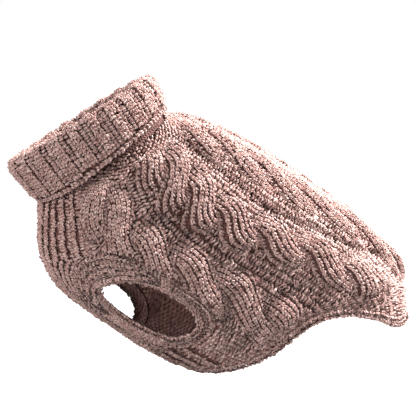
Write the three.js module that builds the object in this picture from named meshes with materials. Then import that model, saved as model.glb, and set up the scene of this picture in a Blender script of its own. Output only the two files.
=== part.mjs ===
// A small dog's cable-knit sweater with a folded rib collar, hollow, in the shape it takes when worn.
// Millimetres, +Z up. The head end is towards -X and the wearer's left side is -Y.
// The origin is on the inner face of the back panel, at the withers.
import * as THREE from "three";

// Cloth
const WALL = 2.6; // plain knit thickness
const SEAM_GAP = 0.5; // between neighbouring pieces, and a little less between their facets
const YARN_COLOUR = 0x9a7a78;

// The torso's form: a row for each section, from the neck seam to the hem.
// back and belly are the section's highest and lowest points on the mid-plane.
// wideDrop lowers the widest point towards the belly, as a share of the half depth.
const TORSO = [
  { share: 0.0, backX: -14, backZ: 4, bellyX: -84, bellyZ: -38, halfWidth: 32, wideDrop: 0.0 },
  { share: 0.1, backX: 12, backZ: -4, bellyX: -86, bellyZ: -61, halfWidth: 41, wideDrop: 0.04 },
  { share: 0.25, backX: 45, backZ: -16, bellyX: -86, bellyZ: -88, halfWidth: 48, wideDrop: 0.08 },
  { share: 0.4, backX: 79, backZ: -33, bellyX: -77, bellyZ: -109, halfWidth: 52, wideDrop: 0.1 },
  { share: 0.55, backX: 112, backZ: -53, bellyX: -56, bellyZ: -128, halfWidth: 54, wideDrop: 0.1 },
  { share: 0.7, backX: 144, backZ: -73, bellyX: -26, bellyZ: -149, halfWidth: 56, wideDrop: 0.08 },
  { share: 0.82, backX: 170, backZ: -94, bellyX: 2, bellyZ: -166, halfWidth: 57, wideDrop: 0.06 },
  { share: 0.92, backX: 190, backZ: -120, bellyX: 24, bellyZ: -177, halfWidth: 57, wideDrop: 0.04 },
  { share: 1.0, backX: 198, backZ: -164, bellyX: 42, bellyZ: -183, halfWidth: 57, wideDrop: 0.02 },
];
const TORSO_ROUNDNESS = 2.25; // exponent of the section's superellipse

// How far down the torso the panels reach, by the angle from the back's centre line.
const PANEL_END = [
  { angle: 0, share: 0.965 },
  { angle: 30, share: 0.965 },
  { angle: 54, share: 0.957 },
  { angle: 72, share: 0.918 },
  { angle: 83, share: 0.876 },
  { angle: 93, share: 0.85 },
  { angle: 106, share: 0.86 },
  { angle: 120, share: 0.882 },
  { angle: 140, share: 0.89 },
  { angle: 180, share: 0.888 },
];
const HEM_DEPTH = 7.5;
const HEM_RIDGES = 2;
const HEM_RELIEF = 1.5;

// Leg openings: the seam between back and chest panels runs at SEAM_ANGLE, and each opening lies across it.
// Shares are of the panel's length, angles in degrees.
const SEAM_ANGLE = 142;
const LEG_CENTRE_SHARE = 0.66;
const LEG_OPENING = { front: 0.185, rear: 0.16, up: 22, down: 14 };
const LEG_BAND = { front: 0.355, rear: 0.2, up: 29, down: 25 };
const LEG_OUTLINE_ROUNDNESS = 2.4;
const LEG_BAND_RIDGES = 4;
const LEG_BAND_RELIEF = 1.9;
const LEG_BAND_FULL_WIDTH = 20; // where the ridges have their full height

// Chest ribs
const CHEST_RIBS = 7;
const CHEST_RIB_RELIEF = 2.0;
const CHEST_RIB_PITCH = 8.8;

// Collar: the ring along its fold, and the ring along the flap's lower edge.
// nearRise lifts the left side and lowers the right, bothRise lifts both.
const COLLAR_FOLD = {
  backX: -18, backZ: 23, frontX: -109, frontZ: -28, halfWidth: 37, nearRise: 9, bothRise: 0,
};
const COLLAR_EDGE = {
  backX: -7, backZ: 10, frontX: -93, frontZ: -53, halfWidth: 44, nearRise: 5, bothRise: 3,
};
const COLLAR_ROUNDNESS = 2.1;
const FOLD_RADIUS = 1.3; // inside the fold, between stand and flap
const COLLAR_REPEATS = 22; // two knit columns raised, two purl columns low
const COLLAR_RIB_RELIEF = 1.7;
const BIND_OFF_DEPTH = 2.5; // the flap's plain edge

// Cables: rope twists on the back panel, in lanes that follow a path of share and angle.
// crossings is how often the strands cross between neck and hem, and the upper strand of
// each crossing runs away from the back's centre line.
const CABLES = [
  {
    path: [{ share: 0, angle: 0 }, { share: 1, angle: 0 }],
    halfWidth: 14, crossings: 10.5, height: 3.8, start: 0.08, end: 0.96, mirrored: false,
  },
  {
    path: [{ share: 0, angle: 35 }, { share: 0.3, angle: 37 }, { share: 0.6, angle: 35 }, { share: 1, angle: 26 }],
    halfWidth: 18, crossings: 5.7, height: 5.0, start: 0.08, end: 0.96, mirrored: true,
  },
  {
    path: [
      { share: 0, angle: 79 }, { share: 0.35, angle: 80 }, { share: 0.55, angle: 75 },
      { share: 0.75, angle: 68 }, { share: 1, angle: 62 },
    ],
    halfWidth: 18, crossings: 7.1, height: 6.4, start: 0.08, end: 0.95, mirrored: true,
  },
  {
    path: [
      { share: 0, angle: 128 }, { share: 0.25, angle: 120 }, { share: 0.48, angle: 110 },
      { share: 0.7, angle: 105 }, { share: 1, angle: 104 },
    ],
    halfWidth: 20, crossings: 5.4, height: 6.0, start: 0.08, end: 0.97, mirrored: true,
  },
];
const STRAND_SHARE = 0.5; // half width of a strand, as a share of the cable's
const STRAND_ROUNDNESS = 0.8;

// Folds: soft troughs between two places on the back panel, each side alike.
const FOLDS = [
  { fromShare: 0.08, fromAngle: 55, toShare: 0.5, toAngle: 60, width: 5, depth: 1.6 },
  { fromShare: 0.5, fromAngle: 60, toShare: 0.78, toAngle: 50, width: 5, depth: 2.2 },
  { fromShare: 0.78, fromAngle: 50, toShare: 0.98, toAngle: 24, width: 5, depth: 1.6 },
  { fromShare: 0.7, fromAngle: 92, toShare: 0.86, toAngle: 122, width: 6, depth: 1.8 },
  { fromShare: 0.86, fromAngle: 86, toShare: 0.93, toAngle: 128, width: 6, depth: 2.0 },
  { fromShare: 0.3, fromAngle: 96, toShare: 0.45, toAngle: 92, width: 6, depth: 1.4 },
];

// Fineness of the meshes
const BACK_ROWS = 46;
const BACK_COLUMNS = 64;
const BACK_INNER_COLUMNS = 16;
const CHEST_ROWS = 28;
const CHEST_COLUMNS = CHEST_RIBS * 4;
const CHEST_INNER_COLUMNS = 10;
const LEG_BAND_SIDES = 40;

const RADIANS = Math.PI / 180;

// Reads the named column of a table at a value of its key column, along a smooth curve through the rows.
function through(rows, key, column, at) {
  const last = rows.length - 1;
  const slope = (i) => {
    const before = rows[Math.max(i - 1, 0)];
    const after = rows[Math.min(i + 1, last)];
    return (after[column] - before[column]) / (after[key] - before[key]);
  };
  let i = 0;
  while (i < last - 1 && at > rows[i + 1][key]) i += 1;
  const span = rows[i + 1][key] - rows[i][key];
  const t = (at - rows[i][key]) / span;
  const rest = 1 - t;
  return (
    rest * rest * (1 + 2 * t) * rows[i][column] +
    t * t * (1 + 2 * rest) * rows[i + 1][column] +
    t * rest * span * (rest * slope(i) - t * slope(i + 1))
  );
}

function smoothStep(from, to, value) {
  return THREE.MathUtils.smoothstep(value, from, to);
}

function signedPower(value, exponent) {
  return Math.sign(value) * Math.abs(value) ** exponent;
}

// A point of the torso's inner face: angle 0 is the back's centre line, 90 the left side, 180 the belly.
function torsoPoint(share, angle) {
  const [backX, backZ, bellyX, bellyZ, halfWidth, wideDrop] = [
    "backX", "backZ", "bellyX", "bellyZ", "halfWidth", "wideDrop",
  ].map((column) => through(TORSO, "share", column, share));
  const across = signedPower(Math.sin(angle * RADIANS), 2 / TORSO_ROUNDNESS);
  const up = signedPower(Math.cos(angle * RADIANS), 2 / TORSO_ROUNDNESS) - wideDrop * across * across;
  return new THREE.Vector3(
    (backX + bellyX + (backX - bellyX) * up) / 2,
    -halfWidth * across,
    (backZ + bellyZ + (backZ - bellyZ) * up) / 2,
  );
}

function panelEnd(angle) {
  const turned = Math.abs(THREE.MathUtils.euclideanModulo(angle + 180, 360) - 180);
  return through(PANEL_END, "angle", "share", turned);
}

// A point of the panels' inner face: share 0 is the neck seam, share 1 the seam of the hem band.
function panelPoint(share, angle) {
  return torsoPoint(share * panelEnd(angle), angle);
}

// The panel's inner point with its unit directions along the piece and out of the cloth.
function panelFrame(share, angle) {
  const step = 0.004;
  const turn = 0.5;
  const point = panelPoint(share, angle);
  const from = panelPoint(Math.max(share - step, 0), angle);
  const along = panelPoint(share + step, angle).sub(from).normalize();
  const around = panelPoint(share, angle + turn).sub(panelPoint(share, angle - turn));
  const out = new THREE.Vector3().crossVectors(around, along).normalize();
  return { point, along, out };
}

function moved(frame, alongBy, outBy) {
  return frame.point.clone().addScaledVector(frame.along, alongBy).addScaledVector(frame.out, outBy);
}

// Rough lengths on the panels, which lay out cables and folds in real millimetres.
const PANEL_LENGTH = 205;
function millimetresPerDegree(share) {
  const row = (column) => through(TORSO, "share", column, share * panelEnd(90));
  const halfDepth = Math.hypot(row("backX") - row("bellyX"), row("backZ") - row("bellyZ")) / 2;
  return ((halfDepth + row("halfWidth")) / 2) * RADIANS;
}

// Height of a rope cable: each strand leans across the lane and dives under the next.
function cableHeight(cable, share, angle) {
  const side = cable.mirrored ? Math.abs(angle) : angle;
  const reach = smoothStep(cable.start - 0.02, cable.start + 0.03, share) *
    (1 - smoothStep(cable.end - 0.03, cable.end + 0.02, share));
  if (reach === 0) return 0;
  const across = (side - through(cable.path, "share", "angle", share)) * millimetresPerDegree(share);
  if (Math.abs(across) > cable.halfWidth * 1.4) return 0;
  const turns = share * cable.crossings;
  const strandHalf = cable.halfWidth * STRAND_SHARE;
  let height = 0;
  for (let strand = Math.floor(turns) - 1; strand <= Math.floor(turns) + 1; strand += 1) {
    const progress = turns - strand - 0.5;
    if (Math.abs(progress) > 1) continue;
    const swing = Math.sin((Math.PI / 2) * THREE.MathUtils.clamp(progress / 0.75, -1, 1));
    const away = (across - swing * (cable.halfWidth - strandHalf)) / strandHalf;
    if (Math.abs(away) >= 1) continue;
    const dive = 1 - 0.75 * smoothStep(0.35, 1, Math.abs(progress));
    height = Math.max(height, cable.height * dive * (1 - away * away) ** STRAND_ROUNDNESS);
  }
  return height * reach;
}

function foldDepth(fold, share, angle) {
  const wide = millimetresPerDegree(share);
  const x = (share - fold.fromShare) * PANEL_LENGTH;
  const y = (Math.abs(angle) - fold.fromAngle) * wide;
  const runX = (fold.toShare - fold.fromShare) * PANEL_LENGTH;
  const runY = (fold.toAngle - fold.fromAngle) * wide;
  const progress = THREE.MathUtils.clamp((x * runX + y * runY) / (runX * runX + runY * runY), 0, 1);
  const away = Math.hypot(x - progress * runX, y - progress * runY);
  return fold.depth * Math.exp(-((away / fold.width) ** 2) * 2);
}

// What stands out of the back panel's plain wall.
function backRelief(share, angle) {
  const cables = Math.max(...CABLES.map((cable) => cableHeight(cable, share, angle)));
  const ground = 1.6 * smoothStep(0.05, 0.1, share) * (1 - smoothStep(0.95, 1, share));
  const folds = FOLDS.reduce((sum, fold) => sum + foldDepth(fold, share, angle), 0);
  return Math.max(cables + ground - folds * smoothStep(0.05, 0.1, share), 0);
}

// The outline of a leg opening or band, as how far it reaches from the seam angle at a share.
function outlineReach(outline, side, share) {
  const offset = share - LEG_CENTRE_SHARE;
  const x = Math.abs(offset) / (offset < 0 ? outline.front : outline.rear);
  if (x >= 1) return 0;
  return outline[side] * (1 - x ** LEG_OUTLINE_ROUNDNESS) ** (1 / LEG_OUTLINE_ROUNDNESS);
}

// Shares of the panels' rows: even steps, with closer rows at the blunt ends of the leg bands.
function panelShares(count) {
  const nearEnds = [0, 0.006, 0.03, 0.08, 0.16].flatMap((away) => [
    LEG_CENTRE_SHARE - LEG_BAND.front * (1 - away),
    LEG_CENTRE_SHARE + LEG_BAND.rear * (1 - away),
  ]);
  const even = Array.from({ length: count + 1 }, (_, i) => i / count);
  const clear = even.filter((share) => nearEnds.every((end) => Math.abs(end - share) > 0.4 / count));
  return [...nearEnds, ...clear].sort((first, second) => first - second);
}

// A mesh under construction, and the two ways to close it.
function newCloth() {
  return { points: [], faces: [] };
}

function addRow(cloth, points) {
  const first = cloth.points.length;
  cloth.points.push(...points);
  return points.map((_, i) => first + i);
}

// Joins two rows with triangles. It walks both at once and steps along the one that lags behind.
function stitch(cloth, rowA, rowB, closed) {
  const stepsA = closed ? rowA.length : rowA.length - 1;
  const stepsB = closed ? rowB.length : rowB.length - 1;
  let a = 0;
  let b = 0;
  while (a < stepsA || b < stepsB) {
    const here = [rowA[a % rowA.length], rowB[b % rowB.length]];
    if (b === stepsB || (a < stepsA && (a + 1) * stepsB <= (b + 1) * stepsA)) {
      a += 1;
      cloth.faces.push([here[0], rowA[a % rowA.length], here[1]]);
    } else {
      b += 1;
      cloth.faces.push([here[0], rowB[b % rowB.length], here[1]]);
    }
  }
}

function stitchLoop(cloth, rows, closed) {
  rows.forEach((row, i) => stitch(cloth, row, rows[(i + 1) % rows.length], closed));
}

// A panel: outer and inner rows, joined round all four edges.
function closePanel(cloth, outer, inner) {
  stitchLoop(cloth, [...outer, ...inner.slice().reverse()], false);
  const first = (row) => row[0];
  const last = (row) => row[row.length - 1];
  stitch(cloth, outer.map(first), inner.map(first), false);
  stitch(cloth, inner.map(last), outer.map(last), false);
}

function clothMesh(name, cloth) {
  const { points, faces } = cloth;
  const volume = faces.reduce((sum, [a, b, c]) => {
    return sum + points[a].dot(new THREE.Vector3().crossVectors(points[b], points[c]));
  }, 0);
  const outward = volume > 0 ? faces : faces.map(([a, b, c]) => [a, c, b]);
  const geometry = new THREE.BufferGeometry().setFromPoints(points);
  geometry.setIndex(outward.flat());
  geometry.computeVertexNormals();
  const material = new THREE.MeshStandardMaterial({
    color: YARN_COLOUR,
    roughness: 0.95,
    metalness: 0,
    side: THREE.DoubleSide,
  });
  const mesh = new THREE.Mesh(geometry, material);
  mesh.name = name;
  return mesh;
}

// The back panel wraps over both sides, down to the chest panel and round the leg bands.
function backPanel() {
  const cloth = newCloth();
  const rowOf = (share, columns, height) => {
    const points = [];
    for (let i = 0; i <= columns; i += 1) {
      const across = (2 * i) / columns - 1;
      const squeeze = smoothStep(0.6, 1, Math.abs(across)) * outlineReach(LEG_BAND, "up", share);
      const angle = across * (SEAM_ANGLE - SEAM_GAP / 2) - Math.sign(across) * squeeze;
      const towardsMiddle = smoothStep(0, 0.05, 1 - Math.abs(across));
      points.push(moved(panelFrame(share, angle), 0, height(share, angle, towardsMiddle)));
    }
    return addRow(cloth, points);
  };
  const raised = (share, angle, towardsMiddle) => WALL + backRelief(share, angle) * towardsMiddle;
  const plain = () => 0;
  const shares = panelShares(BACK_ROWS);
  const outer = shares.map((share) => rowOf(share, BACK_COLUMNS, raised));
  const inner = shares.map((share) => rowOf(share, share < 1 ? BACK_INNER_COLUMNS : BACK_COLUMNS, plain));
  closePanel(cloth, outer, inner);
  return clothMesh("back_panel", cloth);
}

// The chest panel has lengthwise ribs and runs between the legs to the hem.
function chestPanel() {
  const cloth = newCloth();
  const halfAngle = (share) => {
    return 180 - SEAM_ANGLE - SEAM_GAP / 2 - outlineReach(LEG_BAND, "down", share);
  };
  const rowOf = (share, columns, raised) => {
    const points = [];
    const pitch = (2 * halfAngle(share) * millimetresPerDegree(share)) / CHEST_RIBS;
    const relief = CHEST_RIB_RELIEF * Math.min(pitch / CHEST_RIB_PITCH, 1) *
      smoothStep(0.03, 0.08, share) * (1 - smoothStep(0.96, 1, share));
    for (let i = 0; i <= columns; i += 1) {
      const across = (2 * i) / columns - 1;
      const rib = (1 - Math.cos(((across + 1) / 2) * CHEST_RIBS * 2 * Math.PI)) / 2;
      const angle = 180 + across * halfAngle(share);
      points.push(moved(panelFrame(share, angle), 0, raised ? WALL + relief * rib : 0));
    }
    return addRow(cloth, points);
  };
  const shares = panelShares(CHEST_ROWS);
  const outer = shares.map((share) => rowOf(share, CHEST_COLUMNS, true));
  const inner = shares.map((share) => rowOf(share, share < 1 ? CHEST_INNER_COLUMNS : CHEST_COLUMNS, false));
  closePanel(cloth, outer, inner);
  return clothMesh("chest_panel", cloth);
}

// A leg band is knitted round its opening, with ridges that run round it.
function legBand(name, side) {
  const cloth = newCloth();
  const gapShare = SEAM_GAP / PANEL_LENGTH;
  const place = (turn, reach) => {
    const x = signedPower(Math.cos(turn), 2 / LEG_OUTLINE_ROUNDNESS);
    const y = signedPower(Math.sin(turn), 2 / LEG_OUTLINE_ROUNDNESS);
    const long = x < 0 ? "front" : "rear";
    const deep = y < 0 ? "up" : "down";
    const mix = (key, gap) => THREE.MathUtils.lerp(LEG_OPENING[key], LEG_BAND[key] - gap, reach);
    return {
      share: LEG_CENTRE_SHARE + x * mix(long, 1.5 * gapShare),
      angle: SEAM_ANGLE + y * mix(deep, 1.5 * SEAM_GAP),
    };
  };
  const ring = (reach, height) => {
    const points = [];
    for (let i = 0; i < LEG_BAND_SIDES; i += 1) {
      const turn = (i / LEG_BAND_SIDES) * 2 * Math.PI;
      const { share, angle } = place(turn, reach);
      const inside = place(turn, 0);
      const outside = place(turn, 1);
      const width = Math.hypot(
        (outside.share - inside.share) * PANEL_LENGTH,
        (outside.angle - inside.angle) * millimetresPerDegree(share),
      );
      const relief = LEG_BAND_RELIEF * (0.3 + 0.7 * Math.min(width / LEG_BAND_FULL_WIDTH, 1));
      points.push(moved(panelFrame(share, side * angle), 0, height(relief)));
    }
    return addRow(cloth, points);
  };
  const steps = 2 * LEG_BAND_RIDGES;
  const rings = [];
  for (let i = 0; i <= steps; i += 1) {
    rings.push(ring(i / steps, (relief) => WALL + (i % 2) * relief));
  }
  rings.push(ring(1, () => 0), ring(0.5, () => 0), ring(0, () => 0));
  stitchLoop(cloth, rings, true);
  return clothMesh(name, cloth);
}

// The hem band runs round the whole lower edge.
function hemBand() {
  const cloth = newCloth();
  const spread = (middle, halfAngle, columns) => {
    return Array.from({ length: columns + 1 }, (_, i) => middle + ((2 * i) / columns - 1) * halfAngle);
  };
  const angles = [
    ...spread(0, SEAM_ANGLE - SEAM_GAP / 2, BACK_COLUMNS),
    ...spread(180, 180 - SEAM_ANGLE - SEAM_GAP / 2, CHEST_COLUMNS),
  ];
  const frames = angles.map((angle) => panelFrame(1, angle));
  const ring = (alongBy, outBy) => addRow(cloth, frames.map((frame) => moved(frame, alongBy, outBy)));
  const steps = 2 * HEM_RIDGES;
  const rings = [];
  for (let i = 0; i <= steps; i += 1) {
    const down = SEAM_GAP + (i / steps) * HEM_DEPTH;
    rings.push(ring(down, WALL + (i % 2) * HEM_RELIEF));
  }
  rings.push(ring(SEAM_GAP + HEM_DEPTH, 0), ring(SEAM_GAP, 0));
  stitchLoop(cloth, rings, true);
  return clothMesh("hem_band", cloth);
}

function collarRing(row, angle) {
  const across = signedPower(Math.sin(angle * RADIANS), 2 / COLLAR_ROUNDNESS);
  const up = signedPower(Math.cos(angle * RADIANS), 2 / COLLAR_ROUNDNESS);
  return new THREE.Vector3(
    (row.backX + row.frontX + (row.backX - row.frontX) * up) / 2,
    -row.halfWidth * across,
    (row.backZ + row.frontZ + (row.backZ - row.frontZ) * up) / 2 +
      row.nearRise * across + row.bothRise * across * across,
  );
}

// Angles that divide a ring into equal lengths.
function evenAngles(row, count) {
  const fine = 720;
  const lengths = [0];
  for (let i = 1; i <= fine; i += 1) {
    const from = collarRing(row, ((i - 1) / fine) * 360);
    lengths.push(lengths[i - 1] + from.distanceTo(collarRing(row, (i / fine) * 360)));
  }
  return (share) => {
    const target = (share / count) * lengths[fine];
    const i = Math.max(lengths.findIndex((length) => length > target), 1);
    const part = (target - lengths[i - 1]) / (lengths[i] - lengths[i - 1]);
    return ((i - 1 + part) / fine) * 360;
  };
}

// The collar is one tube of ribbing, sewn on at the neck, standing up and folded out and down.
function turtleneckCollar() {
  const cloth = newCloth();
  const angleAt = evenAngles(COLLAR_EDGE, COLLAR_REPEATS);
  const ribWalls = [
    { at: 0.06, height: 1 },
    { at: 0.44, height: 1 },
    { at: 0.56, height: 0 },
    { at: 0.94, height: 0 },
  ];
  const outFrom = (curve, angle, up) => {
    const around = curve(angle + 1).sub(curve(angle - 1));
    return new THREE.Vector3().crossVectors(around, up).normalize().negate();
  };
  const sections = [];
  for (let repeat = 0; repeat < COLLAR_REPEATS; repeat += 1) {
    for (const { at, height } of ribWalls) {
      const angle = angleAt(repeat + at);
      const seam = panelFrame(0, angle);
      const fold = collarRing(COLLAR_FOLD, angle);
      const edge = collarRing(COLLAR_EDGE, angle);
      const standUp = fold.clone().sub(seam.point).normalize();
      const flapUp = fold.clone().sub(edge).normalize();
      const standOut = outFrom((a) => collarRing(COLLAR_FOLD, a), angle, standUp);
      const flapOut = outFrom((a) => collarRing(COLLAR_EDGE, a), angle, flapUp);
      sections.push({ seam, fold, edge, standUp, flapUp, standOut, flapOut, rib: height * COLLAR_RIB_RELIEF });
    }
  }
  const outerRadius = FOLD_RADIUS + WALL;
  const foldPoint = (s, degrees, radius) => {
    const up = s.standUp.clone().add(s.flapUp).normalize();
    const out = s.standOut.clone().add(s.flapOut).normalize();
    return s.fold.clone()
      .addScaledVector(out, -radius * Math.cos(degrees * RADIANS))
      .addScaledVector(up, radius * Math.sin(degrees * RADIANS));
  };
  const row = (pointOf) => addRow(cloth, sections.map(pointOf));
  const sparse = (pointOf) => addRow(cloth, sections.filter((_, i) => i % 2 === 0).map(pointOf));
  const standInside = (share) => (s) => {
    return moved(s.seam, -SEAM_GAP, 0).lerp(foldPoint(s, 0, outerRadius), share);
  };
  const standOutside = (share) => (s) => {
    return moved(s.seam, -SEAM_GAP, WALL).lerp(foldPoint(s, 0, FOLD_RADIUS), share);
  };
  const flapOutside = (share, relief) => (s) => {
    return foldPoint(s, 180, outerRadius).lerp(s.edge, share).addScaledVector(s.flapOut, s.rib * relief);
  };
  const flapInside = (share) => (s) => {
    const lower = s.edge.clone().addScaledVector(s.flapOut, -WALL);
    return foldPoint(s, 180, FOLD_RADIUS).lerp(lower, share);
  };
  const bindOff = (s) => 1 - BIND_OFF_DEPTH / s.edge.distanceTo(s.fold);
  const rings = [
    sparse(standInside(0)),
    sparse(standInside(0.5)),
    row((s) => foldPoint(s, 10, outerRadius)),
    row((s) => foldPoint(s, 55, outerRadius + s.rib * 0.4)),
    row((s) => foldPoint(s, 90, outerRadius + s.rib * 0.7)),
    row((s) => foldPoint(s, 135, outerRadius + s.rib)),
    row(flapOutside(0.08, 1)),
    row(flapOutside(0.5, 1)),
    row((s) => flapOutside(bindOff(s), 1)(s)),
    row((s) => flapOutside(bindOff(s) + 0.02, 0)(s).addScaledVector(s.flapOut, 0.4)),
    row(flapOutside(1, 0)),
    sparse(flapInside(1)),
    sparse(flapInside(0.5)),
    sparse((s) => foldPoint(s, 180, FOLD_RADIUS)),
    sparse((s) => foldPoint(s, 90, FOLD_RADIUS)),
    sparse((s) => foldPoint(s, 0, FOLD_RADIUS)),
    sparse(standOutside(0.5)),
    sparse(standOutside(0)),
  ];
  stitchLoop(cloth, rings, true);
  return clothMesh("turtleneck_collar", cloth);
}

const sweater = new THREE.Group();
sweater.name = "dog_sweater";
sweater.add(
  turtleneckCollar(),
  backPanel(),
  chestPanel(),
  legBand("front_leg_band_left", 1),
  legBand("front_leg_band_right", -1),
  hemBand(),
);

export default sweater;
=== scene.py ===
import math

import bpy
import numpy as np
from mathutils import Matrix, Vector


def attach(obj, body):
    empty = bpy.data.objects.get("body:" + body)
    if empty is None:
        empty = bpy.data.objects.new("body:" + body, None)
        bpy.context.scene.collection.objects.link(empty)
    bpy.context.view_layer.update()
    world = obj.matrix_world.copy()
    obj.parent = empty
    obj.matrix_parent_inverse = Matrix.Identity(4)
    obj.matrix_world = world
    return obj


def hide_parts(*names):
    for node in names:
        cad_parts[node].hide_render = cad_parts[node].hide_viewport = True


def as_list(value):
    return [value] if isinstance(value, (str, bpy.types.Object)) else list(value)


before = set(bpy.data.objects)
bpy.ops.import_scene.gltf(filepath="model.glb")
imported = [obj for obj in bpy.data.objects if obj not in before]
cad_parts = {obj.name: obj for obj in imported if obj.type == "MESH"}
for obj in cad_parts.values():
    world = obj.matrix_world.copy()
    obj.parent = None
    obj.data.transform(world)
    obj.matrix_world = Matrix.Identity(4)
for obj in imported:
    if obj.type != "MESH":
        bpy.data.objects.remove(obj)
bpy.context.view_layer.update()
chance = np.random.default_rng(7)


def table(names, *rows):
    """Rows of numbers, each number under the name of its column."""
    return [dict(zip(names.split(), row)) for row in rows]


# The form is laid out in millimetres, and the meshes are made in metres.
MM = 0.001

# Camera, as the photograph is taken
IMAGE_SIDE = 416
MM_PER_PIXEL = 0.70
ORIGIN_PIXEL = (165, 119)
CAMERA_AZIMUTH = -30
CAMERA_ELEVATION = 6
CAMERA_DISTANCE = 1100

# Studio: lights in metres and watts, and how bright the floor and the surroundings are
KEY_LIGHT = dict(place=(0.84, -0.15, 0.86), target=(0.04, 0, -0.08), size=0.3, power=96.0)
FILL_LIGHT = dict(place=(-1.45, -0.6, 0.65), target=(0.0, 0, -0.1), size=0.35, power=23.0)
AMBIENT_LIGHT = 0.5
FLOOR_BELOW_ORIGIN = 208
FLOOR_HALF_SIDE = 60
FLOOR_GREY = 0.25
FLOOR_SEEN = 0.94
FLOOR_GLOW = 0.05

# Gauge of the knitting, thickness of the cloth and width of the gaps at its seams
WALL = 2.6
SEAM_GAP = 0.5
WALE = 3.0
ROW = 2.6

# The torso's form, a row for each section from the neck seam to the hem
TORSO = table(
    "share back_x back_z belly_x belly_z half_width wide_drop",
    (0.0, -14, 4, -84, -38, 32, 0.0),
    (0.1, 12, -4, -86, -61, 41, 0.04),
    (0.25, 45, -16, -86, -88, 48, 0.08),
    (0.4, 79, -33, -77, -109, 52, 0.1),
    (0.55, 112, -53, -56, -128, 54, 0.1),
    (0.7, 144, -73, -26, -149, 56, 0.08),
    (0.82, 170, -94, 2, -166, 57, 0.06),
    (0.92, 190, -120, 24, -177, 57, 0.04),
    (1.0, 198, -164, 42, -183, 57, 0.02),
)
TORSO_ROUNDNESS = 2.25
PANEL_LENGTH = 205

# How far down the torso the panels reach, by the angle from the back's centre line
PANEL_END = table(
    "angle share",
    (0, 0.965),
    (30, 0.965),
    (54, 0.957),
    (72, 0.918),
    (83, 0.876),
    (93, 0.85),
    (106, 0.86),
    (120, 0.882),
    (140, 0.89),
    (180, 0.888),
)
HEM_DEPTH = 7.5
PLAIN_SEAM_WIDTH = 7  # how far from a side seam the back panel has its full relief
SEAM_WIDTH = 3.2
SEAM_SUNK = 0.5
HEM_RIDGES = 2
HEM_RELIEF = 1.5

# Leg openings lie across the seam between the back and chest panels
SEAM_ANGLE = 142
LEG_CENTRE_SHARE = 0.66
LEG_OPENING = dict(front=0.185, rear=0.16, up=22, down=14)
LEG_BAND = dict(front=0.355, rear=0.2, up=29, down=25)
LEG_OUTLINE_ROUNDNESS = 2.4
LEG_BAND_RIDGES = 4
LEG_BAND_RELIEF = 1.9
LEG_BAND_FULL_WIDTH = 20
EDGE_LIFT = -0.9  # brings the bind-off round a leg opening to the middle of the cloth

CHEST_RIBS = 7
CHEST_RIB_RELIEF = 2.0
CHEST_RIB_PITCH = 8.8
CHEST_MARGIN = 1.2  # degrees kept free at the chest panel's side seams
PURL_PITCH = 5  # the narrowest rib pitch with purl columns between the knit ones
ALL_RIBS_PITCH = 2.6  # the narrowest one at which every rib has stitches

# Collar: the ring along its fold, and the ring along the flap's lower edge
COLLAR_FOLD = dict(
    back_x=-18, back_z=23, front_x=-109, front_z=-28, half_width=37, near_rise=9, both_rise=0
)
COLLAR_EDGE = dict(
    back_x=-7, back_z=10, front_x=-93, front_z=-53, half_width=44, near_rise=5, both_rise=3
)
COLLAR_ROUNDNESS = 2.1
FOLD_RADIUS = 1.3
COLLAR_REPEATS = 22
COLLAR_RIB_RELIEF = 1.7
BIND_OFF_DEPTH = 2.5
COLLAR_COLUMNS = (0.13, 0.35, 0.6, 0.86)  # two knit and two purl columns, in shares of a repeat
PURL_COLUMN_LIFT = 0.6
PURL_ROW = 1.9
STAND_PART = 0.42  # share of the tube's length that stands inside
FOLD_PART = 0.54  # where the fold's arc ends and the flap begins

# Rope cables of the back panel; path holds the lane's angle by share, and crossings is how
# often the strands cross between neck and hem
CABLES = [
    dict(
        path=table("share angle", (0, 0), (1, 0)),
        half_width=14, crossings=10.5, height=3.8, end=0.96, mirrored=False,
    ),
    dict(
        path=table("share angle", (0, 35), (0.3, 37), (0.6, 35), (1, 26)),
        half_width=18, crossings=5.7, height=5.0, end=0.96, mirrored=True,
    ),
    dict(
        path=table("share angle", (0, 79), (0.35, 80), (0.55, 75), (0.75, 68), (1, 62)),
        half_width=18, crossings=7.1, height=6.4, end=0.95, mirrored=True,
    ),
    dict(
        path=table("share angle", (0, 128), (0.25, 120), (0.48, 110), (0.7, 105), (1, 104)),
        half_width=20, crossings=5.4, height=6.0, end=0.97, mirrored=True,
    ),
]
CABLE_START = 0.08
STRAND_SHARE = 0.5  # half width of a strand, as a share of the cable's
STRAND_ROUNDNESS = 0.8
GROUND_COLUMN = 3.2  # degrees
GROUND_ROW = 2.5
GROUND_RELIEF = 1.6
PURL_OVERLAP = 1.35  # width of a purl bump, as a share of its column

# Folds: soft troughs between two places on the back panel
DEEPEST_FOLD = 1.2
FOLDS = table(
    "from_share from_angle to_share to_angle width depth",
    (0.08, 55, 0.5, 60, 5, 1.6),
    (0.5, 60, 0.78, 50, 5, 2.2),
    (0.78, 50, 0.98, 24, 5, 1.6),
    (0.7, 92, 0.86, 122, 6, 1.8),
    (0.86, 86, 0.93, 128, 6, 2.0),
    (0.3, 96, 0.45, 92, 6, 1.4),
)

# Path of the yarn in one leg of a knit stitch and in one purl bump: across and lift in wales,
# along in rows, and thick as a share of the yarn's radius, which is in wales too
YARN_SIDES = 4
YARN_RADIUS = 0.3
KNIT_LEG = table(
    "across along lift thick",
    (0.02, -0.80, -0.36, 0.0),
    (0.10, -0.46, -0.04, 0.85),
    (0.26, 0.02, 0.14, 1.02),
    (0.42, 0.48, -0.04, 0.85),
    (0.46, 0.80, -0.38, 0.0),
)
PURL_BAR = table(
    "across along lift thick",
    (-0.66, -0.20, -0.38, 0.0),
    (-0.38, -0.06, -0.02, 1.05),
    (0.0, 0.16, 0.10, 1.35),
    (0.38, -0.06, -0.02, 1.05),
    (0.66, -0.20, -0.38, 0.0),
)

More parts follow.
